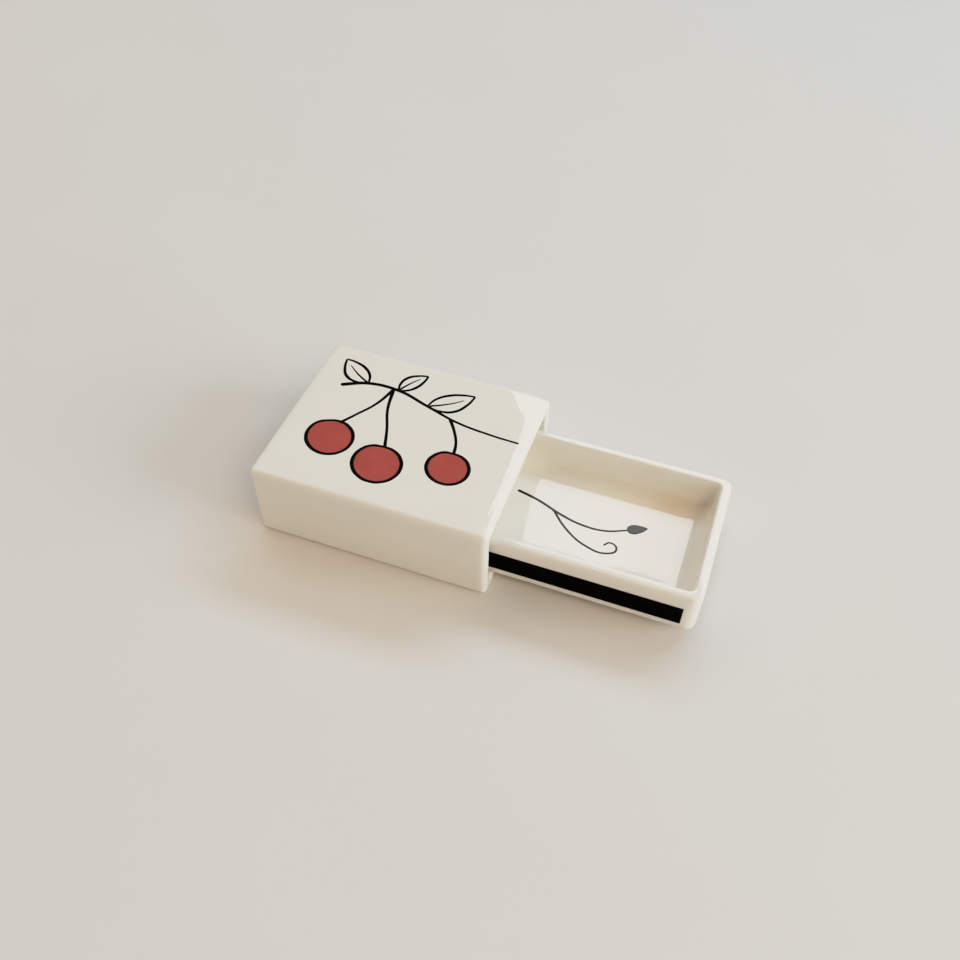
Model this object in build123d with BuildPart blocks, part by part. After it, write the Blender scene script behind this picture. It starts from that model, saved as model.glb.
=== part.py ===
from build123d import *
import os

# Matchbox holder: a ceramic sleeve, a ceramic tray that slides in it, and a striking strip on the tray.
# Millimetres and degrees. The origin is the middle of the sleeve's underside.
# +X is the way the tray slides out, +Z is up, and the strip is on the -Y side.

# Sleeve
sleeve_length = 73.4
sleeve_width = 60.0
sleeve_height = 27.1
sleeve_wall = 3.5
sleeve_edge_radius = 1.9
channel_edge_radius = 1.5
mouth_outer_radius = 1.8
far_end_outer_radius = 1.0
mouth_inner_radius = 1.2

# How the tray fits the sleeve
side_clearance = 2.75
floor_clearance = 0.2
head_clearance = 4.8
end_inset = 0.0
engaged_length = 13.6

# Tray
tray_wall = 3.2
tray_floor = 5.0
well_draft = 10.0
tray_corner_radius = 3.5
tray_foot_radius = 0.8
rim_outer_radius = 1.4
rim_inner_radius = 0.8
well_corner_radius = 1.6
cove_radius = 3.5

# Striking strip
strip_height = 7.0
strip_thickness = 0.3
strip_lift = 3.1
strip_end_margin = 4.5

# Places that follow from the sizes above
channel_width = sleeve_width - 2 * sleeve_wall
channel_height = sleeve_height - 2 * sleeve_wall
mouth_x = sleeve_length / 2
tray_length = sleeve_length - 2 * end_inset
tray_width = channel_width - 2 * side_clearance
tray_height = channel_height - floor_clearance - head_clearance
tray_bottom = sleeve_wall + floor_clearance
tray_top = tray_bottom + tray_height
tray_x = mouth_x - engaged_length + tray_length / 2
well_length = tray_length - 2 * tray_wall
well_width = tray_width - 2 * tray_wall
well_depth = tray_height - tray_floor
strip_length = tray_length - 2 * strip_end_margin
strip_z = tray_bottom + strip_lift + strip_height / 2

os.makedirs("parts", exist_ok=True)

# The sleeve is one tube along X, open at both ends, and its mouth is softer than its far end
across = Plane(origin=(-mouth_x, 0, sleeve_height / 2), x_dir=(0, 1, 0), z_dir=(1, 0, 0))
with BuildPart() as sleeve:
    with BuildSketch(across) as section:
        RectangleRounded(sleeve_width, sleeve_height, sleeve_edge_radius)
        RectangleRounded(channel_width, channel_height, channel_edge_radius, mode=Mode.SUBTRACT)
    extrude(amount=sleeve_length)
    mouth_face = sleeve.faces().sort_by(Axis.X)[-1]
    fillet(mouth_face.outer_wire().edges(), radius=mouth_outer_radius)
    far_face = sleeve.faces().sort_by(Axis.X)[0]
    fillet(far_face.outer_wire().edges(), radius=far_end_outer_radius)
    inner_rims = [face.inner_wires()[0].edges() for face in sleeve.faces().filter_by(Axis.X)]
    fillet(inner_rims, radius=mouth_inner_radius)
sleeve.part.label = "sleeve"
export_step(sleeve.part, "parts/sleeve.step")

# The hollow of the tray, with sloping sides and a coved foot, is a solid that is cut away
with BuildPart() as well:
    with BuildSketch(Plane.XY.offset(tray_top)) as well_mouth:
        with Locations((tray_x, 0)):
            Rectangle(well_length, well_width)
    extrude(amount=-well_depth, taper=well_draft)
    fillet(well.faces().sort_by(Axis.Z)[0].edges(), radius=cove_radius)
    corner_edges = well.edges().group_by(Axis.Z)[-2]
    fillet(corner_edges, radius=well_corner_radius)

with BuildPart() as tray:
    with BuildSketch(Plane.XY.offset(tray_bottom)) as footprint:
        with Locations((tray_x, 0)):
            RectangleRounded(tray_length, tray_width, tray_corner_radius)
    extrude(amount=tray_height)
    fillet(tray.faces().sort_by(Axis.Z)[0].edges(), radius=tray_foot_radius)
    add(well.part, mode=Mode.SUBTRACT)
    rim = tray.faces().sort_by(Axis.Z)[-1]
    fillet(rim.outer_wire().edges(), radius=rim_outer_radius)
    rim = tray.faces().sort_by(Axis.Z)[-1]
    fillet(rim.inner_wires()[0].edges(), radius=rim_inner_radius)
tray.part.label = "tray"
export_step(tray.part, "parts/tray.step")

# The strip lies flat on the tray's near side
strip_seat = Plane(origin=(tray_x, -tray_width / 2, strip_z), x_dir=(1, 0, 0), z_dir=(0, -1, 0))
with BuildPart() as striker_strip:
    with BuildSketch(strip_seat) as strip_outline:
        Rectangle(strip_length, strip_height)
    extrude(amount=strip_thickness)
striker_strip.part.label = "striker_strip"
export_step(striker_strip.part, "parts/striker_strip.step")
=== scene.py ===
import math

import bmesh
import bpy
import numpy as np
from mathutils import Matrix, Vector


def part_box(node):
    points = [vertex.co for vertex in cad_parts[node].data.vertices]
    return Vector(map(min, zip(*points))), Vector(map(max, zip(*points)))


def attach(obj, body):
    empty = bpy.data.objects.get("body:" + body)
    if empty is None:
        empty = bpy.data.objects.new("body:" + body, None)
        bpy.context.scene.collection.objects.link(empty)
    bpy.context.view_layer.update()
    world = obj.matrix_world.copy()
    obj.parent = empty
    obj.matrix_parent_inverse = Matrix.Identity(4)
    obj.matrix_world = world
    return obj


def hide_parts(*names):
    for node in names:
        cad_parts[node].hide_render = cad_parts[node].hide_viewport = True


# Matchbox holder: a glazed sleeve and tray with a pen drawing, and a striking strip.
# Metres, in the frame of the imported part: +X is the way the tray slides out and +Z is up.

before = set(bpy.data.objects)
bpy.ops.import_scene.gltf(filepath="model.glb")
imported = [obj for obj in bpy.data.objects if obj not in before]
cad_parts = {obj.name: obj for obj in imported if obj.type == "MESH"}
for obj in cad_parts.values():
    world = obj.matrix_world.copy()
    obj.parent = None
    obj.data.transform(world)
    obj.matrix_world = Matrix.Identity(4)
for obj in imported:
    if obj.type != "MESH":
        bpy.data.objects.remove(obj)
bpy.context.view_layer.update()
MM = 0.001

# Sizes read from the part
sleeve_low, sleeve_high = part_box("sleeve")
tray_low, tray_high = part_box("tray")
strip_low, strip_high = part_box("striker_strip")
sleeve_size = sleeve_high - sleeve_low
tray_size = tray_high - tray_low
strip_size = strip_high - strip_low
sleeve_middle = (sleeve_high + sleeve_low) / 2
tray_middle = (tray_high + tray_low) / 2
strip_middle = (strip_high + strip_low) / 2

# Sizes of the shells that their boxes don't give
SLEEVE_WALL = 3.5 * MM
SLEEVE_EDGE = 1.9 * MM
CHANNEL_EDGE = 1.5 * MM
MOUTH_OUTER = 1.8 * MM
MOUTH_INNER = 1.2 * MM
TRAY_WALL = 3.2 * MM
TRAY_FLOOR = 5.0 * MM
WELL_DRAFT = math.radians(10)
TRAY_CORNER = 3.5 * MM
TRAY_FOOT = 0.8 * MM
RIM_OUTER = 1.4 * MM
RIM_INNER = 0.8 * MM
WELL_CORNER = 1.6 * MM
WELL_FOOT_CORNER = 3.0 * MM
COVE = 4.5 * MM

# The sleeve's faces sink a little towards its mouth before they turn over, and the other end is crisper
MOUTH_ROLL = 0.16 * MM
MOUTH_ROLL_RUN = 3.4 * MM
MOUTH_ROLL_RADIUS = 60 * MM
FAR_END_OUTER = 1.0 * MM

# One corner of the sleeve's roof has sunk in the kiln
SAG = 0.6 * MM
SAG_REACH = 16 * MM

# How finely the meshes are cut, and how near points are that become one
MESH_STEP = 1.6 * MM
ARC_STEPS = 7
CORNER_STEPS = 10
NIB_STEPS = 10
PAD_STEPS = 17
SHELL_MERGE = 0.002 * MM
PAD_MERGE = 0.001 * MM

# A distance beyond every point of the part, in metres
BEYOND = 1.0

# How far hand work has left the clay from true
SKIN_DIP = 0.05 * MM
SLEEVE_FACE_DIP = 0.20 * MM
TRAY_FACE_DIP = 0.15 * MM
EDGE_DIP = 0.20 * MM
FACE_DIP_SIZE = 24 * MM
EDGE_DIP_SIZE = 9 * MM
STILL_FADE = 2 * MM
STRIP_SEAT_DEPTH = 1 * MM
FOOT_BAND = 0.3 * MM

# Where in the noise each shell's unevenness is taken from
SLEEVE_SEED = 3.7
TRAY_SEED = 8.2

# The bend between faces, in radians, that counts as a full edge, and how squarely a face looks down or
# to the front to count as doing so
FULL_BEND = 0.12
LOOKS_DOWN = -0.98
LOOKS_FORWARD = -0.95

# The strip is a slab with grit on it, and grit takes up the rest of its thickness
SLAB_SHARE = 0.75
STRIP_CORNER = 0.15 * MM
STRIP_SOFT = 0.06 * MM
GRAINS_PER_SQUARE_METRE = 5.5e6
GRAIN_SIZE = 0.07 * MM
GRIT_SEED = 11

# The drawing: half a pen line's width, how flat its enamel lies, how blunt its ends are, and the depth
# and the rounding of filled colour
PEN = 0.50 * MM
RELIEF_SHARE = 0.07
PEN_SPACING = 0.16 * MM
PEN_BLUNTNESS = 0.02
PAD_DEPTH = 0.02 * MM
PAD_DOME = 0.25
FRUIT_POINTS = 48
LEAF_POINTS = 24

# The size of patches in the finishes, and the depth of the glaze's ripple and the clay's grain
CLOUD_SIZE = 14 * MM
GLOSS_PATCH = 5 * MM
RIPPLE_SIZE = 2.2 * MM
RIPPLE_DEPTH = 0.012 * MM
CLAY_PATCH = 3 * MM
CLAY_GRAIN = 0.35 * MM
CLAY_GRAIN_DEPTH = 0.06 * MM
STROKE_PATCH = 9 * MM
SPECKLE_SIZE = 0.45 * MM
FLOOR_PATCH = 60 * MM

# The camera's place, found from the edges of the object in the photograph
AIM = Vector((19.73, 12.08, 0)) * MM
CAMERA_DISTANCE = 314.4 * MM
CAMERA_AZIMUTH = math.radians(19.11)
CAMERA_ELEVATION = math.radians(49.11)
CAMERA_ROLL = math.radians(1.04)
CAMERA_LENS = 36.42

# The room around it, in metres, and the bearings of the window's two sides, in degrees. The pane that is
# mirrored stands just in front of the one that lights, which would hide it if they shared a plane.
LIGHT_DISTANCE = 1.6
SOFTBOX_SIZE = 0.9
WINDOW_DISTANCE = 1.2
SHINE_DISTANCE = 1.18
WINDOW_BEARINGS = (-13.6, 48)

# How the picture's light tones are eased: where that begins, what the white of each colour is, and
# the light that gives it
WHITE_KNEE = 0.45
WHITE_TOPS = (0.835, 0.81, 0.765)
BRIGHTEST = 1.5
TONE_STEPS = 10

# The floor, in metres
FLOOR_REACH = 1.9
WALL_REACH = 2.4
WALL_HEIGHT = 1.3
FLOOR_SIDES = 96
BEND_POINTS = 13


# Curves

def new_curve(name):
    curve = bpy.data.curves.new(name, "CURVE")
    curve.dimensions = "3D"
    curve.resolution_u = 24
    piece = bpy.data.objects.new(name, curve)
    bpy.context.scene.collection.objects.link(piece)
    return piece


def rounded_path(corners, radii, closed):
    """Points along a path through corners. Each corner is turned into an arc of its radius."""
    corners = [Vector(corner) for corner in corners]
    count = len(corners)
    stretches = []
    for i, corner in enumerate(corners):
        if not closed and i in (0, count - 1):
            stretches.append([corner])
            continue
        back = (corners[i - 1] - corner).normalized()
        ahead = (corners[(i + 1) % count] - corner).normalized()
        half_angle = back.angle(ahead) / 2
        centre = corner + (back + ahead).normalized() * radii[i] / math.sin(half_angle)
        start = corner + back * radii[i] / math.tan(half_angle) - centre
        end = corner + ahead * radii[i] / math.tan(half_angle) - centre
        spokes = [start.slerp(end, k / ARC_STEPS) for k in range(ARC_STEPS + 1)]
        stretches.append([centre + spoke * radii[i] for spoke in spokes])
    path = []
    for i, arc in enumerate(stretches):
        path += arc
        if not closed and i == count - 1:
            break
        here, there = arc[-1], stretches[(i + 1) % count][0]
        cuts = max(1, round((there - here).length / MESH_STEP))
        path += [here.lerp(there, k / cuts) for k in range(1, cuts)]
    return path


def section_curve(name, points, ring_corners, closed):
    """A wall's section. A point is how far in its ring lies and how high, and its radius is the
    corner radius of that ring."""
    section = new_curve(name)
    spline = section.data.splines.new("POLY")
    spline.points.add(len(points) - 1)
    for knot, (inset, rise), corner in zip(spline.points, points, ring_corners):
        knot.co = (inset, rise, 0, 1)
        knot.radius = corner
    spline.use_cyclic_u = closed
    return section


def sleeve_section():
    """The tube's wall from mouth to mouth, outside and inside."""
    half = sleeve_size.x / 2
    turns = [(0, -half), (0, half - MOUTH_ROLL_RUN), (MOUTH_ROLL, half), (SLEEVE_WALL, half),
             (SLEEVE_WALL, -half)]
    radii = [FAR_END_OUTER, MOUTH_ROLL_RADIUS, MOUTH_OUTER, MOUTH_INNER, MOUTH_INNER]
    points = rounded_path(turns, radii, True)
    insets = [0, MOUTH_OUTER, SLEEVE_WALL - MOUTH_INNER, SLEEVE_WALL]
    corners = [SLEEVE_EDGE, SLEEVE_EDGE - MOUTH_OUTER, CHANNEL_EDGE + MOUTH_INNER, CHANNEL_EDGE]
    return section_curve("sleeve_section", points, [np.interp(p[0], insets, corners) for p in points], True)


def tray_section():
    """The drawer from the middle of its foot, up its wall, over the rim and down to the well's middle."""
    top, centre = tray_size.z, tray_size.y / 2
    floor_inset = TRAY_WALL + (top - TRAY_FLOOR) * math.tan(WELL_DRAFT)
    turns = [(centre, 0), (0, 0), (0, top), (TRAY_WALL, top), (floor_inset, TRAY_FLOOR),
             (centre, TRAY_FLOOR)]
    points = rounded_path(turns, [0, TRAY_FOOT, RIM_OUTER, RIM_INNER, COVE, 0], False)
    below = [(0, TRAY_CORNER), (centre, 0)]
    outer = [(0, TRAY_CORNER), (RIM_OUTER, TRAY_CORNER - RIM_OUTER)]
    inner = [(TRAY_WALL - RIM_INNER, WELL_CORNER + RIM_INNER), (TRAY_WALL, WELL_CORNER),
             (floor_inset + COVE, WELL_FOOT_CORNER), (centre, 0)]
    corners = []
    for inset, rise in points:
        table = below if rise < TRAY_FOOT else outer if inset < TRAY_WALL / 2 else inner
        corners.append(np.interp(inset, *zip(*table)))
    return section_curve("tray_section", points, corners, False)


# Node trees

def add(tree, kind, inputs=(), **settings):
    """A node with its settings. Each input is given a value, or an output socket to be linked to."""
    made = tree.nodes.new(kind)
    for name, value in settings.items():
        setattr(made, name, value)
    for name, value in dict(inputs).items():
        if isinstance(value, bpy.types.NodeSocket):
            tree.links.new(value, made.inputs[name])
        else:
            made.inputs[name].default_value = value
    return made


def maths(tree, operation, *values):
    """A number worked out from others."""
    return add(tree, "ShaderNodeMath", dict(enumerate(values)), operation=operation).outputs[0]


def vectors(tree, operation, *values):
    """A vector worked out from others."""
    made = add(tree, "ShaderNodeVectorMath", dict(enumerate(values)), operation=operation)
    return made.outputs["Vector"]


def scaled(tree, vector, factor):
    made = add(tree, "ShaderNodeVectorMath", {0: vector, "Scale": factor}, operation="SCALE")
    return made.outputs["Vector"]


def parts_of(tree, vector):
    return add(tree, "ShaderNodeSeparateXYZ", {"Vector": vector}).outputs


def vector_of(tree, x=0.0, y=0.0, z=0.0):
    return add(tree, "ShaderNodeCombineXYZ", {"X": x, "Y": y, "Z": z}).outputs["Vector"]


def position(tree):
    return add(tree, "GeometryNodeInputPosition").outputs["Position"]


def new_tree(name, sockets):
    """A tree with a Geometry input and the named ones, and what its group input gives."""
    tree = bpy.data.node_groups.new(name, "GeometryNodeTree")
    tree.interface.new_socket("Geometry", in_out="INPUT", socket_type="NodeSocketGeometry")
    for socket, kind in sockets.items():
        tree.interface.new_socket(socket, in_out="INPUT", socket_type="NodeSocket" + kind)
    tree.interface.new_socket("Geometry", in_out="OUTPUT", socket_type="NodeSocketGeometry")
    return tree, add(tree, "NodeGroupInput").outputs


def hold(tree, curve, **fields):
    """Keeps fields of a curve's points, so that the mesh made from it still has them."""
    keeper = tree.nodes.new("GeometryNodeCaptureAttribute")
    tree.links.new(curve, keeper.inputs["Geometry"])
    for name, field in fields.items():
        keeper.capture_items.new("VECTOR" if field.type == "VECTOR" else "FLOAT", name)
        tree.links.new(field, keeper.inputs[name])
    return keeper.outputs


def finish_tree(tree, geometry, coat):
    """Ends a tree: smooth faces, real meshes and a material."""
    smooth = add(tree, "GeometryNodeSetShadeSmooth", {"Geometry": geometry})
    real = add(tree, "GeometryNodeRealizeInstances", {"Geometry": smooth.outputs["Geometry"]})
    coated = add(tree, "GeometryNodeSetMaterial", {"Geometry": real.outputs["Geometry"], "Material": coat})
    add(tree, "NodeGroupOutput", {"Geometry": coated.outputs["Geometry"]})
    return coated


def outline_of_spacing(tree, length, width, corner, spacing):
    """A rounded rectangle, with its straight stretches cut about every spacing."""
    sharp = add(tree, "GeometryNodeCurvePrimitiveQuadrilateral", {"Width": length, "Height": width})
    eased = add(tree, "GeometryNodeFilletCurve", {"Curve": sharp.outputs["Curve"], "Radius": corner,
                                                  "Count": CORNER_STEPS}, mode="POLY")
    next_point = add(tree, "GeometryNodeOffsetPointInCurve", {"Offset": 1}).outputs["Point Index"]
    there = add(tree, "GeometryNodeFieldAtIndex", {"Index": next_point}, data_type="FLOAT_VECTOR")
    tree.links.new(position(tree), there.inputs["Value"])
    gap = add(tree, "ShaderNodeVectorMath", {0: position(tree), 1: there.outputs["Value"]},
              operation="DISTANCE").outputs["Value"]
    cuts = maths(tree, "SUBTRACT", maths(tree, "ROUND", maths(tree, "DIVIDE", gap, spacing)), 1.0)
    return add(tree, "GeometryNodeSubdivideCurve", {
        "Curve": eased.outputs["Curve"], "Cuts": maths(tree, "MAXIMUM", cuts, 0.0)}).outputs["Curve"]


def carried_section_tree():
    """Carries a section round a rounded rectangle, each ring with the corner radius that it gives."""
    tree, given = new_tree("carried_section", {
        "Length": "Float", "Width": "Float", "Corner": "Float", "Spacing": "Float",
        "Place": "Vector", "Turn": "Vector", "Coat": "Material"})
    around = outline_of_spacing(tree, given["Length"], given["Width"], given["Corner"], given["Spacing"])
    around = hold(tree, around, point=position(tree))
    radius = add(tree, "GeometryNodeInputRadius").outputs["Radius"]
    section = hold(tree, given["Geometry"], point=position(tree), corner=radius)
    sheet = add(tree, "GeometryNodeCurveToMesh", {"Curve": around["Geometry"],
                                                  "Profile Curve": section["Geometry"]})
    inset, rise = parts_of(tree, section["point"])["X"], parts_of(tree, section["point"])["Y"]
    half = scaled(tree, vector_of(tree, given["Length"], given["Width"]), 0.5)

    def core(margin):
        """Half the size of the rectangle that the corners' middles lie on."""
        return vectors(tree, "SUBTRACT", half, vector_of(tree, margin, margin))

    outer_core = core(given["Corner"])
    ring_core = core(maths(tree, "ADD", inset, section["corner"]))
    nearest = vectors(tree, "MAXIMUM", around["point"], scaled(tree, outer_core, -1.0))
    nearest = vectors(tree, "MINIMUM", nearest, outer_core)
    outwards = scaled(tree, vectors(tree, "SUBTRACT", around["point"], nearest),
                      maths(tree, "DIVIDE", 1.0, given["Corner"]))
    middle = vectors(tree, "MULTIPLY", nearest, vectors(tree, "DIVIDE", ring_core, outer_core))
    flat = vectors(tree, "ADD", middle, scaled(tree, outwards, section["corner"]))
    raised = vectors(tree, "ADD", flat, vector_of(tree, z=rise))
    turned = add(tree, "ShaderNodeVectorRotate", {"Vector": raised, "Rotation": given["Turn"]},
                 rotation_type="EULER_XYZ").outputs["Vector"]
    moved = add(tree, "GeometryNodeSetPosition", {
        "Geometry": sheet.outputs["Mesh"], "Position": vectors(tree, "ADD", turned, given["Place"])})
    closed = add(tree, "GeometryNodeMergeByDistance", {"Geometry": moved.outputs["Geometry"],
                                                       "Distance": SHELL_MERGE})
    outside_out = add(tree, "GeometryNodeFlipFaces", {"Mesh": closed.outputs["Geometry"]})
    finish_tree(tree, outside_out.outputs["Mesh"], given["Coat"])
    return tree


def hand_work_tree():
    """Presses a surface in a little, unevenly, and more at its edges, and notes where glaze thins
    or gathers. Nothing moves in the still box, and little within its fade."""
    tree, given = new_tree("hand_work", {
        "Skin Dip": "Float", "Face Dip": "Float", "Face Dip Size": "Float", "Edge Dip": "Float",
        "Edge Dip Size": "Float", "Seed": "Float", "Still Low": "Vector", "Still High": "Vector",
        "Still Fade": "Float", "Sag": "Float", "Sag Corner": "Vector", "Sag Reach": "Float",
        "Foot Height": "Float", "Glaze": "Material", "Clay": "Material"})
    angle = add(tree, "GeometryNodeInputMeshEdgeAngle").outputs["Signed Angle"]

    def bend(passes):
        """How far the surface bends, out or in, spread over its neighbours."""
        blurred = add(tree, "GeometryNodeBlurAttribute", {"Value": angle, "Iterations": passes})
        return maths(tree, "DIVIDE", blurred.outputs["Value"], FULL_BEND)

    def unevenness(size, seed):
        """A soft noise through the clay, with lumps about size across."""
        return add(tree, "ShaderNodeTexNoise", {
            "Vector": position(tree), "W": seed, "Scale": maths(tree, "DIVIDE", 1.0, size), "Detail": 2.0},
            noise_dimensions="4D").outputs["Fac"]

    on_edge = add(tree, "ShaderNodeClamp", {"Value": bend(3)}).outputs["Result"]
    face_noise = unevenness(given["Face Dip Size"], given["Seed"])
    face_part = maths(tree, "MULTIPLY", given["Face Dip"], face_noise)
    edge_noise = unevenness(given["Edge Dip Size"], maths(tree, "ADD", given["Seed"], 10.0))
    edge_part = maths(tree, "MULTIPLY", given["Edge Dip"], maths(tree, "MULTIPLY", on_edge, edge_noise))
    dip = maths(tree, "ADD", given["Skin Dip"], maths(tree, "ADD", face_part, edge_part))
    below = vectors(tree, "SUBTRACT", given["Still Low"], position(tree))
    above = vectors(tree, "SUBTRACT", position(tree), given["Still High"])
    away = parts_of(tree, vectors(tree, "MAXIMUM", below, above))
    farthest = maths(tree, "MAXIMUM", maths(tree, "MAXIMUM", away["X"], away["Y"]), away["Z"])
    loose = add(tree, "ShaderNodeClamp", {"Value": maths(tree, "DIVIDE", farthest, given["Still Fade"])})
    inwards = scaled(tree, add(tree, "GeometryNodeInputNormal").outputs["Normal"],
                     maths(tree, "MULTIPLY", maths(tree, "MULTIPLY", dip, loose.outputs["Result"]), -1.0))
    from_corner = add(tree, "ShaderNodeVectorMath", {0: position(tree), 1: given["Sag Corner"]},
                      operation="DISTANCE").outputs["Value"]
    near = maths(tree, "SUBTRACT", 1.0, maths(tree, "DIVIDE", from_corner, given["Sag Reach"]))
    near = maths(tree, "MAXIMUM", near, 0.0)
    sunk = maths(tree, "MULTIPLY", given["Sag"], maths(tree, "MULTIPLY", near, near))
    moves = vectors(tree, "SUBTRACT", inwards, vector_of(tree, z=sunk))
    pressed = add(tree, "GeometryNodeSetPosition", {"Geometry": given["Geometry"], "Offset": moves})
    noted = add(tree, "GeometryNodeStoreNamedAttribute", {
        "Geometry": pressed.outputs["Geometry"], "Name": "glaze_depth",
        "Value": maths(tree, "MULTIPLY", bend(6), -1.0)}, data_type="FLOAT", domain="POINT")
    coated = finish_tree(tree, noted.outputs["Geometry"], given["Glaze"])
    facing = parts_of(tree, add(tree, "GeometryNodeInputNormal").outputs["Normal"])["Z"]
    low = maths(tree, "LESS_THAN", parts_of(tree, position(tree))["Z"], given["Foot Height"])
    under = maths(tree, "MULTIPLY", low, maths(tree, "LESS_THAN", facing, LOOKS_DOWN))
    bare = add(tree, "GeometryNodeSetMaterial", {"Geometry": coated.outputs["Geometry"], "Selection": under,
                                                 "Material": given["Clay"]})
    end = next(node for node in tree.nodes if node.type == "GROUP_OUTPUT")
    tree.links.new(bare.outputs["Geometry"], end.inputs["Geometry"])
    return tree


def run_trees(source, stages, name):
    """Runs trees on an object, one after another, and returns the result as a plain mesh object."""
    for tree, values in stages:
        modifier = source.modifiers.new(tree.name, "NODES")
        modifier.node_group = tree
        items = [item for item in tree.interface.items_tree if item.in_out == "INPUT"]
        sockets = {item.name: item.identifier for item in items}
        for socket, value in values.items():
            modifier[sockets[socket]] = value
    bpy.context.view_layer.update()
    baked = source.evaluated_get(bpy.context.evaluated_depsgraph_get())
    mesh = bpy.data.meshes.new_from_object(baked)
    bpy.data.objects.remove(source)
    mesh.name = name
    piece = bpy.data.objects.new(name, mesh)
    bpy.context.scene.collection.objects.link(piece)
    return piece


def pen_line_tree():
    """Lays pen lines on a surface: each follows its curve, with rounded ends and a low rounded top."""
    tree, given = new_tree("pen_line", {"Surface": "Object", "Spacing": "Float", "Relief Share": "Float",
                                        "Enamel": "Material"})
    cut = add(tree, "GeometryNodeResampleCurve", {"Curve": given["Geometry"], "Length": given["Spacing"]},
              mode="LENGTH").outputs["Curve"]
    radius = add(tree, "GeometryNodeInputRadius").outputs["Radius"]
    run = add(tree, "GeometryNodeSplineParameter").outputs["Length"]
    whole = add(tree, "GeometryNodeSplineLength").outputs["Length"]
    from_end = maths(tree, "MINIMUM", run, maths(tree, "SUBTRACT", whole, run))
    missing = maths(tree, "MINIMUM", maths(tree, "DIVIDE", from_end, radius), 1.0)
    missing = maths(tree, "SUBTRACT", 1.0, missing)
    squared = maths(tree, "MULTIPLY", missing, missing)
    rounding = maths(tree, "SQRT", maths(tree, "SUBTRACT", 1 + PEN_BLUNTNESS, squared))
    shaped = add(tree, "GeometryNodeSetCurveRadius", {
        "Curve": cut, "Radius": maths(tree, "MULTIPLY", radius, rounding)}).outputs["Curve"]
    nib = add(tree, "GeometryNodeCurvePrimitiveCircle", {"Resolution": NIB_STEPS, "Radius": 1.0})
    line = add(tree, "GeometryNodeCurveToMesh", {
        "Curve": shaped, "Profile Curve": nib.outputs["Curve"],
        "Scale": add(tree, "GeometryNodeInputRadius").outputs["Radius"], "Fill Caps": True})
    height = maths(tree, "MULTIPLY", parts_of(tree, position(tree))["Z"], given["Relief Share"])
    laid = add(tree, "GeometryNodeSetPosition", {
        "Geometry": line.outputs["Mesh"],
        "Position": on_surface(tree, given["Surface"], position(tree), height)})
    finish_tree(tree, laid.outputs["Geometry"], given["Enamel"])
    return tree


def on_surface(tree, surface, place, height):
    """A place moved straight down or up on to a surface, and then up by a height."""
    body = add(tree, "GeometryNodeObjectInfo", {"Object": surface})
    at = parts_of(tree, place)
    hit = add(tree, "GeometryNodeRaycast", {
        "Target Geometry": body.outputs["Geometry"], "Ray Direction": (0, 0, -1),
        "Ray Length": 2 * BEYOND, "Source Position": vector_of(tree, at["X"], at["Y"], BEYOND)})
    ground = parts_of(tree, hit.outputs["Hit Position"])["Z"]
    return vector_of(tree, at["X"], at["Y"], maths(tree, "ADD", ground, height))


def enamel_fill_tree():
    """Fills an outline with a thin pad of enamel on a surface, domed at its rim and closed below."""
    tree, given = new_tree("enamel_fill", {"Surface": "Object", "Centre": "Vector", "Depth": "Float",
                                           "Enamel": "Material"})
    rim = hold(tree, given["Geometry"], point=position(tree))
    arc = add(tree, "GeometryNodeCurveArc", {
        "Resolution": PAD_STEPS, "Radius": 1.0, "Start Angle": -math.pi / 2, "Sweep Angle": math.pi})
    spoke = hold(tree, arc.outputs["Curve"], point=position(tree))
    sheet = add(tree, "GeometryNodeCurveToMesh", {"Curve": rim["Geometry"],
                                                  "Profile Curve": spoke["Geometry"]})
    at = parts_of(tree, spoke["point"])
    share = maths(tree, "POWER", maths(tree, "MAXIMUM", at["X"], 0.0), PAD_DOME)
    reach = scaled(tree, vectors(tree, "SUBTRACT", rim["point"], given["Centre"]), share)
    height = maths(tree, "MULTIPLY", at["Y"], given["Depth"])
    place = on_surface(tree, given["Surface"], vectors(tree, "ADD", given["Centre"], reach), height)
    laid = add(tree, "GeometryNodeSetPosition", {"Geometry": sheet.outputs["Mesh"], "Position": place})
    closed = add(tree, "GeometryNodeMergeByDistance", {"Geometry": laid.outputs["Geometry"],
                                                       "Distance": PAD_MERGE})
    outside_out = add(tree, "GeometryNodeFlipFaces", {"Mesh": closed.outputs["Geometry"]})
    finish_tree(tree, outside_out.outputs["Mesh"], given["Enamel"])
    return tree


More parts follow.
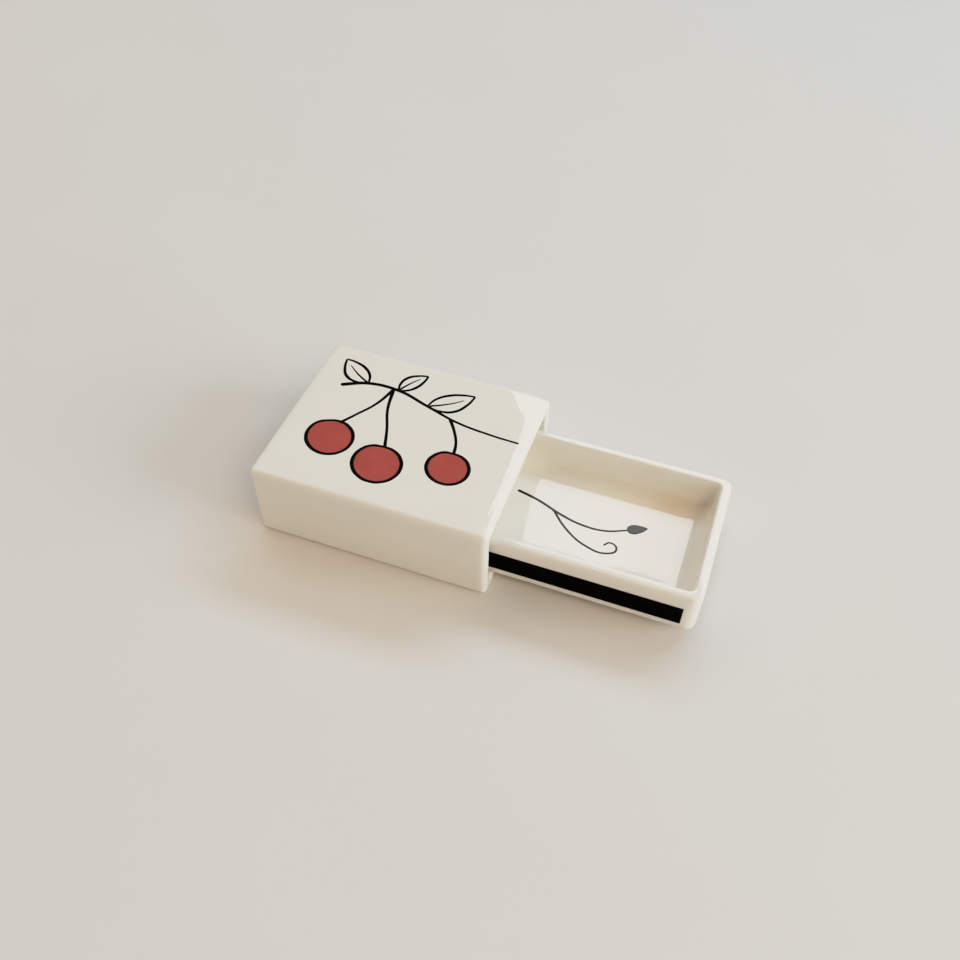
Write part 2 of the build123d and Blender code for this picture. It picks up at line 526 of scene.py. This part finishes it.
def grit_tree():
    """Sets grains on the face of a slab that looks to -Y, and joins them to it."""
    tree, given = new_tree("grit", {"Grains": "Float", "Grain Size": "Float", "Seed": "Int",
                                    "Coat": "Material"})
    facing = parts_of(tree, add(tree, "GeometryNodeInputNormal").outputs["Normal"])["Y"]
    spread = add(tree, "GeometryNodeDistributePointsOnFaces", {
        "Mesh": given["Geometry"], "Selection": maths(tree, "LESS_THAN", facing, LOOKS_FORWARD),
        "Density": given["Grains"], "Seed": given["Seed"]})
    grain = add(tree, "GeometryNodeMeshIcoSphere", {"Radius": given["Grain Size"], "Subdivisions": 1})
    size = add(tree, "FunctionNodeRandomValue", {"Min": 0.5, "Max": 1.0, "Seed": given["Seed"]},
               data_type="FLOAT")
    turn = add(tree, "FunctionNodeRandomValue", {"Seed": given["Seed"]}, data_type="FLOAT_VECTOR")
    turn.inputs["Max"].default_value = (2 * math.pi, 2 * math.pi, 2 * math.pi)
    grains = add(tree, "GeometryNodeInstanceOnPoints", {
        "Points": spread.outputs["Points"], "Instance": grain.outputs["Mesh"],
        "Rotation": turn.outputs["Value"], "Scale": size.outputs[1]})
    together = add(tree, "GeometryNodeJoinGeometry")
    tree.links.new(given["Geometry"], together.inputs["Geometry"])
    tree.links.new(grains.outputs["Instances"], together.inputs["Geometry"])
    real = add(tree, "GeometryNodeRealizeInstances", {"Geometry": together.outputs["Geometry"]})
    coated = add(tree, "GeometryNodeSetMaterial", {"Geometry": real.outputs["Geometry"],
                                                   "Material": given["Coat"]})
    add(tree, "NodeGroupOutput", {"Geometry": coated.outputs["Geometry"]})
    return tree


# Materials

def blank_material(name):
    """A material with its tree, its surface shader and the piece's own coordinates."""
    material = bpy.data.materials.new(name)
    material.use_nodes = True
    tree = material.node_tree
    tree.nodes.clear()
    surface = add(tree, "ShaderNodeBsdfPrincipled")
    add(tree, "ShaderNodeOutputMaterial", {"Surface": surface.outputs["BSDF"]})
    where = add(tree, "ShaderNodeTexCoord").outputs["Object"]
    return material, tree, surface, where


def mottle(tree, where, size, detail=2.0):
    """A soft noise with patches about size across, from 0 to 1."""
    made = add(tree, "ShaderNodeTexNoise", {"Vector": where, "Scale": 1 / size, "Detail": detail})
    return made.outputs["Fac"]


def between(tree, share, low, high):
    """A value from low to high, as share goes from 0 to 1."""
    made = add(tree, "ShaderNodeMapRange", {"Value": share, "To Min": low, "To Max": high})
    return made.outputs["Result"]


def share_of(tree, value, start, end):
    """From 0 to 1 as the value goes from start to end."""
    made = add(tree, "ShaderNodeMapRange", {"Value": value, "From Min": start, "From Max": end})
    return made.outputs["Result"]


def blend_colours(tree, share, first, second):
    """A colour from the first to the second, as share goes from 0 to 1."""
    made = add(tree, "ShaderNodeMix", {0: share}, data_type="RGBA")
    for socket, colour in ((made.inputs[6], first), (made.inputs[7], second)):
        if isinstance(colour, bpy.types.NodeSocket):
            tree.links.new(colour, socket)
        else:
            socket.default_value = (*colour, 1)
    return made.outputs[2]


def glaze(name, thin, full, deep):
    """Glossy white glaze, paler or warmer with its depth, with a faint unevenness in tone and gloss."""
    material, tree, surface, where = blank_material(name)
    depth = add(tree, "ShaderNodeAttribute", attribute_name="glaze_depth").outputs["Fac"]
    cloud = between(tree, mottle(tree, where, CLOUD_SIZE, 3.0), -0.35, 1.0)
    tone = blend_colours(tree, cloud, full, tuple(0.97 * c for c in full))
    tone = blend_colours(tree, share_of(tree, depth, -0.15, -0.9), tone, thin)
    tone = blend_colours(tree, share_of(tree, depth, 0.15, 0.9), tone, deep)
    tree.links.new(tone, surface.inputs["Base Color"])
    roughness = between(tree, mottle(tree, where, GLOSS_PATCH), 0.015, 0.04)
    tree.links.new(roughness, surface.inputs["Roughness"])
    surface.inputs["IOR"].default_value = 1.58
    ripple = add(tree, "ShaderNodeBump", {"Height": mottle(tree, where, RIPPLE_SIZE, 1.0),
                                          "Strength": 0.25, "Distance": RIPPLE_DEPTH})
    tree.links.new(ripple.outputs["Normal"], surface.inputs["Normal"])
    return material


def bare_clay():
    """Unglazed clay of the undersides: matt, a little darker, with a fine grain."""
    material, tree, surface, where = blank_material("bare_clay")
    grain = mottle(tree, where, CLAY_GRAIN, 4.0)
    patches = mottle(tree, where, CLAY_PATCH, 4.0)
    tone = blend_colours(tree, patches, (0.60, 0.55, 0.47), (0.70, 0.66, 0.58))
    tree.links.new(tone, surface.inputs["Base Color"])
    surface.inputs["Roughness"].default_value = 0.85
    rough = add(tree, "ShaderNodeBump", {"Height": grain, "Strength": 0.6,
                                         "Distance": CLAY_GRAIN_DEPTH})
    tree.links.new(rough.outputs["Normal"], surface.inputs["Normal"])
    return material


def enamel(name, colour, shade, gloss):
    """Fired colour of the drawing, with its share of gloss, a little uneven where the brush has passed."""
    material, tree, surface, where = blank_material(name)
    stretched = add(tree, "ShaderNodeMapping", {"Vector": where, "Rotation": (0, 0, 0.5),
                                                "Scale": (1, 2, 1)})
    strokes = mottle(tree, stretched.outputs["Vector"], STROKE_PATCH)
    tone = blend_colours(tree, share_of(tree, strokes, 0.25, 0.75), colour, shade)
    tree.links.new(tone, surface.inputs["Base Color"])
    tree.links.new(between(tree, strokes, 0.05, 0.20), surface.inputs["Roughness"])
    surface.inputs["Specular IOR Level"].default_value = gloss
    return material


def striking_paper():
    """Near-black friction coat, matt, with a fine speckle."""
    material, tree, surface, where = blank_material("striking_paper")
    cells = add(tree, "ShaderNodeTexVoronoi", {"Vector": where, "Scale": 1 / SPECKLE_SIZE})
    speckle = cells.outputs["Distance"]
    tone = blend_colours(tree, speckle, (0.0005, 0.0005, 0.0005), (0.0018, 0.0016, 0.0016))
    tree.links.new(tone, surface.inputs["Base Color"])
    tree.links.new(between(tree, speckle, 0.75, 0.95), surface.inputs["Roughness"])
    surface.inputs["Specular IOR Level"].default_value = 0.02
    return material


# The shells

cream = (0.84, 0.815, 0.75)
thin_cream = (0.84, 0.81, 0.74)
deep_cream = (0.81, 0.78, 0.70)
sleeve_glaze = glaze("cream_glaze_of_sleeve", thin_cream, cream, deep_cream)
tray_glaze = glaze("cream_glaze_of_tray", thin_cream, cream, deep_cream)
clay = bare_clay()
black_enamel = enamel("black_enamel", (0.002, 0.002, 0.002), (0.005, 0.005, 0.004), 0.05)
# The tray's pen lines are the same black enamel with more gloss, and their colour is lifted a little as a
# painted reflection of the window
black_enamel_painted_reflection = enamel("black_enamel_painted_reflection", (0.006, 0.006, 0.006), (0.02, 0.019, 0.018), 0.3)
red_enamel = enamel("red_enamel", (0.41, 0.085, 0.07), (0.35, 0.072, 0.06), 0.2)

carried = carried_section_tree()
hand_work = hand_work_tree()
by_hand = {"Skin Dip": SKIN_DIP, "Face Dip Size": FACE_DIP_SIZE, "Edge Dip": EDGE_DIP,
           "Edge Dip Size": EDGE_DIP_SIZE, "Still Fade": STILL_FADE, "Sag Reach": SAG_REACH, "Clay": clay}

# The sleeve's section goes round an outline across X, and its underside stays true
sleeve_values = {"Length": sleeve_size.y, "Width": sleeve_size.z, "Corner": SLEEVE_EDGE,
                 "Spacing": MESH_STEP, "Place": sleeve_middle, "Coat": sleeve_glaze,
                 "Turn": Vector((math.pi / 2, 0, math.pi / 2))}
sleeve_work = {**by_hand, "Face Dip": SLEEVE_FACE_DIP, "Seed": SLEEVE_SEED, "Glaze": sleeve_glaze,
               "Still Low": Vector((-BEYOND, -BEYOND, -BEYOND)),
               "Still High": Vector((BEYOND, BEYOND, sleeve_low.z)),
               "Sag": SAG, "Sag Corner": sleeve_high, "Foot Height": sleeve_low.z + FOOT_BAND}
sleeve_shell = run_trees(
    sleeve_section(), [(carried, sleeve_values), (hand_work, sleeve_work)], "sleeve_shell")
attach(sleeve_shell, "sleeve")
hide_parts("sleeve")

# The tray's section goes round an outline on the floor, and the strip's seat stays true
tray_values = {"Length": tray_size.x, "Width": tray_size.y, "Corner": TRAY_CORNER, "Spacing": MESH_STEP,
               "Place": Vector((tray_middle.x, tray_middle.y, tray_low.z)), "Coat": tray_glaze}
tray_work = {**by_hand, "Face Dip": TRAY_FACE_DIP, "Seed": TRAY_SEED, "Glaze": tray_glaze,
             "Still Low": strip_low, "Still High": strip_high + Vector((0, STRIP_SEAT_DEPTH, 0)),
             "Sag": 0.0, "Foot Height": tray_low.z + FOOT_BAND}
tray_shell = run_trees(
    tray_section(), [(carried, tray_values), (hand_work, tray_work)], "tray_shell")
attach(tray_shell, "tray")
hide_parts("tray")


# The drawing: points are in mm, in the part's X and Y

def stroke(drawing, points, weights=(0.8, 1.15, 0.7)):
    """One pen stroke through points. weights are shares of the pen's width along it."""
    spline = drawing.data.splines.new("BEZIER")
    spline.bezier_points.add(len(points) - 1)
    along = np.linspace(0, len(weights) - 1, len(points))
    widths = np.interp(along, range(len(weights)), weights)
    for knot, (x, y), share in zip(spline.bezier_points, points, widths):
        knot.co = (x * MM, y * MM, 0)
        knot.handle_left_type = knot.handle_right_type = "AUTO"
        knot.radius = PEN * share


def fruit_outline(centre, radius, tilt, count=12):
    """Points round a plump fruit, a little dented at its top, past where they began."""
    points = []
    for k in range(count + 2):
        angle = math.radians(100 + tilt + 360 * k / count)
        from_top = math.sin((angle - math.radians(90 + tilt)) / 2)
        bulge = 1 + 0.035 * math.cos(2 * angle + 1) - 0.07 * math.exp(-(8 * from_top) ** 2)
        points.append((centre[0] + radius * bulge * math.cos(angle),
                       centre[1] + radius * bulge * math.sin(angle)))
    return points


def leaf(drawing, base, tip, belly, lean=0.0):
    """A leaf in three strokes: two sides that meet at the tip, and a vein."""
    base, tip = Vector(base), Vector(tip)
    axis = tip - base
    side = Vector((-axis.y, axis.x)).normalized() * belly
    swell = [(0.0, 0.0), (0.2, 0.72), (0.48, 1.0), (0.78, 0.62), (1.0, 0.0)]
    for hand in (1, -1):
        edge = [base + axis * t + side * (hand * s + lean * math.sin(math.pi * t)) for t, s in swell]
        stroke(drawing, edge, (0.7, 1.1, 0.75))
    vein = [base + axis * t + side * lean * math.sin(math.pi * t) for t in (0.05, 0.3, 0.55, 0.76)]
    stroke(drawing, vein, (0.8, 0.6, 0.35))


def filled(name, edge, centre, ground, material):
    """A pad of enamel inside an outline, laid on the ground."""
    outline = new_curve(name)
    spline = outline.data.splines.new("POLY")
    spline.points.add(len(edge) - 1)
    for knot, (x, y) in zip(spline.points, edge):
        knot.co = (x * MM, y * MM, 0, 1)
    spline.use_cyclic_u = True
    values = {"Surface": ground, "Centre": Vector((centre[0], centre[1], 0)) * MM, "Depth": PAD_DEPTH,
              "Enamel": material}
    return run_trees(outline, [(pad, values)], name)


pen = pen_line_tree()
pad = enamel_fill_tree()
pen_values = {"Spacing": PEN_SPACING, "Relief Share": RELIEF_SHARE, "Enamel": black_enamel}

# On the sleeve: a sprig of cherries
lines = new_curve("sleeve_pen_lines")
branch = [(-27, 12), (-19, 15.5), (-9, 15.8), (2, 12.5), (13, 9.2), (24, 7.8), (33.4, 7.4)]
stroke(lines, branch, (1.5, 1.2, 0.9, 0.75))
leaf(lines, (-19, 15.5), (-30, 23.5), 3.4, 0.2)
leaf(lines, (2, 12.5), (14.5, 21.5), 3.6, -0.25)
leaf(lines, (-9, 15.8), (-2.5, 25.0), 2.6, 0.2)
fruits = [((-20.5, -9.5), 7.0, 12), ((-3.0, -14.5), 7.2, -6), ((17.0, -9.0), 6.2, -10)]
stalks = [[(-10.5, 15.6), (-13.0, 8), (-17.0, 1.5), (-20.2, -3.4)],
          [(-10.5, 15.6), (-8.8, 7), (-5.6, -1.0), (-3.2, -8.2)],
          [(10.5, 9.9), (13.6, 5.4), (15.8, 1.0), (16.8, -3.7)]]
for points in stalks:
    stroke(lines, points, (1.2, 0.8, 1.1))
for centre, radius, tilt in fruits:
    stroke(lines, fruit_outline(centre, radius, tilt), (0.9, 1.3, 1.0, 1.25, 0.8))
sleeve_lines = run_trees(lines, [(pen, {**pen_values, "Surface": sleeve_shell})], "sleeve_pen_lines")
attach(sleeve_lines, "sleeve")
for number, (centre, radius, tilt) in enumerate(fruits, 1):
    edge = fruit_outline(centre, radius, tilt, FRUIT_POINTS)[:FRUIT_POINTS]
    red = filled(f"fruit_{number}", edge, centre, sleeve_shell, red_enamel)
    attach(red, "sleeve")

# The drawing goes on in the tray, in black enamel lightened a little as painted reflection, and ends in a
# dark leaf and a curl
lines = new_curve("tray_pen_lines")
stroke(lines, [(34.5, 5.4), (42, 3.6), (50, 0.6), (57, -1.0), (64, -0.8), (70.5, 1.8)], (1.0, 0.85, 0.7))
stroke(lines, [(47, 1.8), (53, -4.2), (60, -8.2), (66.5, -8.8), (69, -6.4), (66.8, -4.6), (64.9, -6.2)],
       (0.8, 0.75, 0.6))
tray_pen_values = {**pen_values, "Surface": tray_shell, "Enamel": black_enamel_painted_reflection}
tray_lines = run_trees(lines, [(pen, tray_pen_values)], "tray_pen_lines")
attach(tray_lines, "tray")
leaf_middle = Vector((73.0, 3.1))
half_length, half_width, taper = 3.2, 1.7, 0.45
leaf_tilt = Matrix.Rotation(math.radians(25), 2)
leaf_edge = []
for k in range(LEAF_POINTS):
    turn = 2 * math.pi * k / LEAF_POINTS
    along = half_length * math.cos(turn)
    across = half_width * math.sin(turn) * (1 - taper * math.cos(turn))
    leaf_edge.append(leaf_middle + leaf_tilt @ Vector((along, across)))
leaf_tip = filled("tray_leaf", leaf_edge, leaf_middle, tray_shell, black_enamel_painted_reflection)
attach(leaf_tip, "tray")


# The strip

def make_strip():
    """The striking strip: a thin slab with softened corners, its face set all over with fine grit."""
    coat = striking_paper()
    depth = SLAB_SHARE * strip_size.y
    middle = strip_size.z / 2
    points = rounded_path([(middle, 0), (0, 0), (0, depth), (middle, depth)],
                          [0, STRIP_SOFT, STRIP_SOFT, 0], False)
    corners = [np.interp(inset, [0, middle], [STRIP_CORNER, 0]) for inset, rise in points]
    values = {"Length": strip_size.x, "Width": strip_size.z, "Corner": STRIP_CORNER, "Spacing": MESH_STEP,
              "Place": Vector((strip_middle.x, strip_high.y, strip_middle.z)),
              "Turn": Vector((math.pi / 2, 0, 0)), "Coat": coat}
    grains = {"Grains": GRAINS_PER_SQUARE_METRE, "Grain Size": GRAIN_SIZE, "Seed": GRIT_SEED, "Coat": coat}
    section = section_curve("strip_section", points, corners, False)
    return run_trees(section, [(carried, values), (grit_tree(), grains)], "striking_strip")


strip = make_strip()
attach(strip, "tray")
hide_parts("striker_strip")


# Floor, light and camera

def make_camera():
    """The camera looks along its azimuth from +Y, down by its elevation, at a point on the floor."""
    level = math.cos(CAMERA_ELEVATION)
    ahead = Vector((-math.sin(CAMERA_AZIMUTH) * level, math.cos(CAMERA_AZIMUTH) * level,
                    -math.sin(CAMERA_ELEVATION)))
    right = ahead.cross(Vector((0, 0, 1))).normalized()
    right = Matrix.Rotation(CAMERA_ROLL, 3, -ahead) @ right
    up = right.cross(ahead)
    data = bpy.data.cameras.new("camera")
    data.lens = CAMERA_LENS
    data.clip_start = 0.01
    camera = bpy.data.objects.new("camera", data)
    camera.matrix_world = Matrix.Translation(AIM - ahead * CAMERA_DISTANCE) @ Matrix(
        (right, up, -ahead)).transposed().to_4x4()
    bpy.context.scene.collection.objects.link(camera)
    bpy.context.scene.camera = camera


def panel(name, place, away, width, height, power, colour, diffuse=True, glossy=True):
    """A panel of light at a place, with its back to away. It lights, or is mirrored in gloss, or both."""
    data = bpy.data.lights.new(name, "AREA")
    data.shape = "RECTANGLE"
    data.size, data.size_y = width, height
    data.energy = power
    data.color = colour
    lamp = bpy.data.objects.new(name, data)
    lamp.location = place
    lamp.rotation_euler = away.to_track_quat("Z", "Y").to_euler()
    lamp.visible_camera = False
    lamp.visible_diffuse = diffuse
    lamp.visible_glossy = glossy
    bpy.context.scene.collection.objects.link(lamp)


def softbox(name, azimuth, elevation, power, colour):
    """A square panel aimed at the object that leaves no reflection. Azimuth 0 is +Y and 90 is +X."""
    turn, rise = math.radians(azimuth), math.radians(elevation)
    away = Vector((math.sin(turn) * math.cos(rise), math.cos(turn) * math.cos(rise), math.sin(rise)))
    panel(name, AIM + away * LIGHT_DISTANCE, away, SOFTBOX_SIZE, SOFTBOX_SIZE, power, colour, glossy=False)


def window_pane(name, distance, low, high, radiance, colour, **seen_by):
    """An upright pane behind the object, between the window's bearings and two heights."""
    sides = [distance * math.tan(math.radians(bearing)) for bearing in WINDOW_BEARINGS]
    width, height = sides[1] - sides[0], high - low
    place = AIM + Vector(((sides[0] + sides[1]) / 2, distance, (low + high) / 2))
    power = radiance * math.pi * width * height
    panel(name, place, Vector((0, 1, 0)), width, height, power, colour, **seen_by)


def make_floor():
    """A pale floor that turns up into a low wall far from the object."""
    material, tree, surface, where = blank_material("floor")
    tone = blend_colours(tree, mottle(tree, where, FLOOR_PATCH), (0.68, 0.67, 0.655), (0.71, 0.70, 0.685))
    tree.links.new(tone, surface.inputs["Base Color"])
    surface.inputs["Roughness"].default_value = 0.9
    surface.inputs["Specular IOR Level"].default_value = 0.1
    bend = WALL_REACH - FLOOR_REACH
    slope = [(FLOOR_REACH + bend * math.sin(a), bend * (1 - math.cos(a)))
             for a in np.linspace(0, math.pi / 2, BEND_POINTS)]
    profile = [(0, 0), (FLOOR_REACH / 2, 0)] + slope + [(WALL_REACH, WALL_HEIGHT)]
    made = bmesh.new()
    knots = [made.verts.new((reach, 0, height)) for reach, height in profile]
    edges = [made.edges.new(pair) for pair in zip(knots, knots[1:])]
    bmesh.ops.spin(made, geom=knots + edges, cent=(0, 0, 0), axis=(0, 0, 1), angle=2 * math.pi,
                   steps=FLOOR_SIDES)
    bmesh.ops.remove_doubles(made, verts=made.verts, dist=MM)
    bmesh.ops.recalc_face_normals(made, faces=made.faces)
    if made.faces[0].normal.z < 0:
        bmesh.ops.reverse_faces(made, faces=made.faces)
    mesh = bpy.data.meshes.new("floor")
    made.to_mesh(mesh)
    made.free()
    mesh.shade_smooth()
    mesh.materials.append(material)
    floor = bpy.data.objects.new("floor", mesh)
    bpy.context.scene.collection.objects.link(floor)


def make_light():
    """A window behind the object, as one pane that lights and one that is mirrored, and softboxes."""
    world = bpy.data.worlds.new("room")
    world.use_nodes = True
    background = world.node_tree.nodes["Background"]
    background.inputs["Color"].default_value = (1.0, 0.97, 0.93, 1)
    background.inputs["Strength"].default_value = 0.01
    bpy.context.scene.world = world
    window_pane("window", WINDOW_DISTANCE, 0.93, 1.45, 7.2, (0.7, 1.0, 1.2), glossy=False)
    window_pane("window_shine", SHINE_DISTANCE, 0.8, 1.63, 4.6, (1.0, 1.0, 1.0), diffuse=False)
    softbox("right", 90, 18, 20.0, (0.93, 1.03, 1.07))
    softbox("front_right", 135, 48, 10.8, (1.0, 0.7, 0.42))
    softbox("back_left", -45, 48, 5.5, (1.0, 0.97, 0.95))
    softbox("left", -90, 40, 6.0, (1.0, 0.72, 0.46))


def soften_whites():
    """Eases the picture's light tones towards a soft warm white, as on a matt print."""
    view = bpy.context.scene.view_settings
    view.view_transform = "Standard"
    view.use_curve_mapping = True
    mapping = view.curve_mapping
    mapping.white_level = (BRIGHTEST, BRIGHTEST, BRIGHTEST)
    for curve, top in zip(mapping.curves, WHITE_TOPS):
        curve.points[-1].location = (1, top)
        span = BRIGHTEST - WHITE_KNEE
        rise = top - WHITE_KNEE
        for step in range(1, TONE_STEPS):
            share = step / TONE_STEPS
            light = share * BRIGHTEST
            left = (1 - max(light - WHITE_KNEE, 0) / span) ** (span / rise)
            curve.points.new(share, light if light < WHITE_KNEE else top - rise * left)
    mapping.update()


make_camera()
make_floor()
make_light()
soften_whites()
